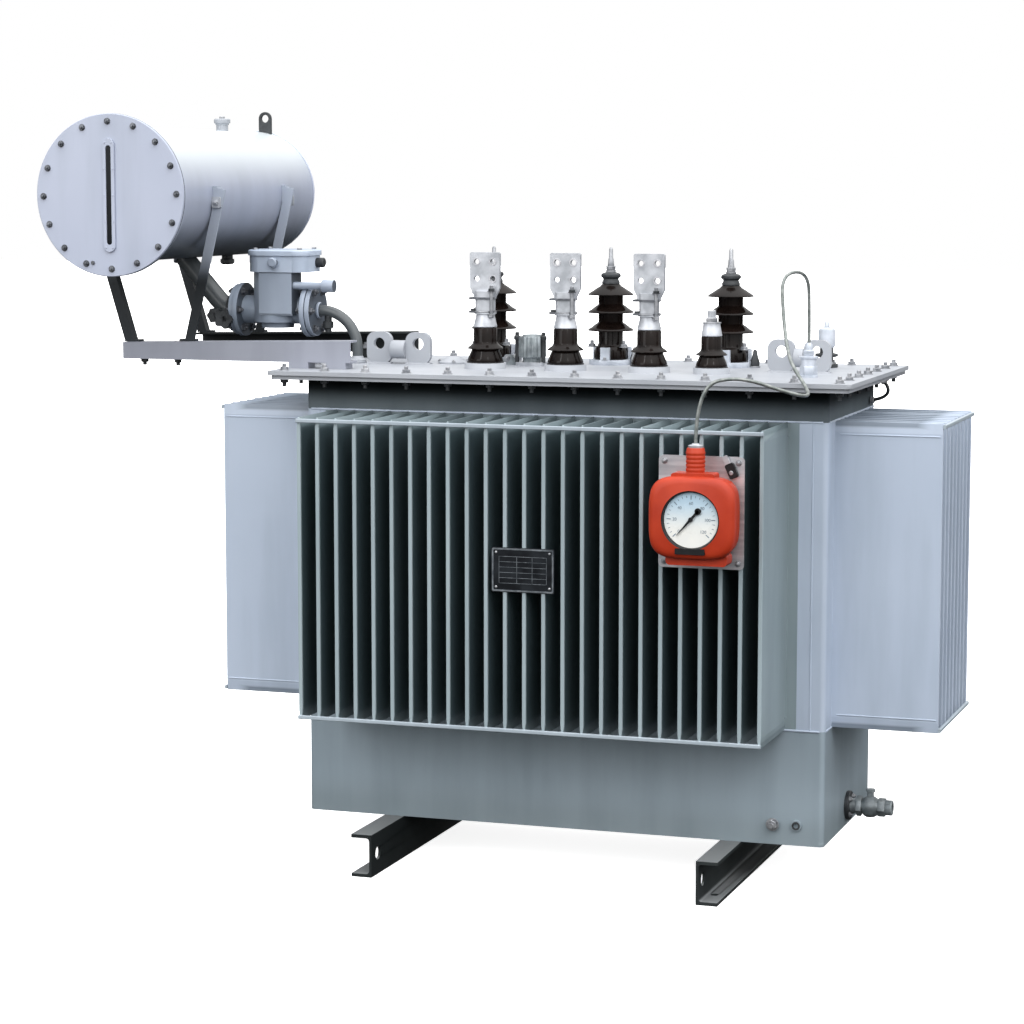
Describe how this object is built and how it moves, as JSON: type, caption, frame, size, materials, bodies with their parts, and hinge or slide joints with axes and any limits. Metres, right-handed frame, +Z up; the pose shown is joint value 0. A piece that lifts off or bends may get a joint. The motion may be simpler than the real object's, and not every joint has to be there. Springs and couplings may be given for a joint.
{
  "type": "power transformer",
  "caption": "Oil-immersed power transformer: finned tank on skids, bolted cover with porcelain bushings, side conservator with gas relay and a dial thermometer.",
  "frame": {"origin": "centre of the skid anchor pattern, on the ground", "axes": "+X along the tank towards the drain end, -X towards the conservator, -Y towards the low-voltage and thermometer side, +Z up"},
  "size_m": [2.0955, 1.072, 1.766],
  "materials": {
    "tank_paint": "satin",
    "porcelain": "gloss",
    "terminal_metal": "satin",
    "cast_aluminium": "cast",
    "gauge_glass": "gloss",
    "dark_iron": "painted",
    "bright_steel": "plated",
    "orange_case": "gloss",
    "dial_face": "gloss",
    "capillary_steel": "wound armour",
    "core_steel": "stacked sheet",
    "winding_paper": "paper wrapped",
    "plate_black": "satin"
  },
  "bodies": {
    "root": {"skid_left": "tank_paint", "skid_right": "tank_paint", "tank_floor": "tank_paint", "tank_skirt": "tank_paint", "tank_corners": "tank_paint", "tank_collar": "tank_paint", "tank_rim": "tank_paint", "cover_plate": "tank_paint", "fin_wall_front": "tank_paint", "fin_wall_back": "tank_paint", "fin_wall_left": "tank_paint", "fin_wall_right": "tank_paint", "fin_rods": "tank_paint", "conservator_shell": "tank_paint", "conservator_ends": "tank_paint", "level_gauge_frame": "tank_paint", "conservator_fittings": "tank_paint", "beam_front": "tank_paint", "beam_back": "tank_paint", "leg_frame_front": "tank_paint", "leg_frame_back": "tank_paint", "relay_body": "tank_paint", "relay_head": "tank_paint", "relay_pipes": "tank_paint", "lifting_brackets": "tank_paint", "core": "core_steel", "windings": "winding_paper", "lv_insulators": "porcelain", "hv_insulators": "porcelain", "lv_terminals": "terminal_metal", "hv_terminals": "terminal_metal", "hv_clamps": "cast_aluminium", "level_gauge_glass": "gauge_glass", "oil_valves": "dark_iron", "cover_fittings": "cast_aluminium", "thermometer_plate": "bright_steel", "thermometer_housing": "orange_case", "thermometer_dial": "dial_face", "capillary": "capillary_steel", "rating_plate": "plate_black"}
  },
  "joints": []
}
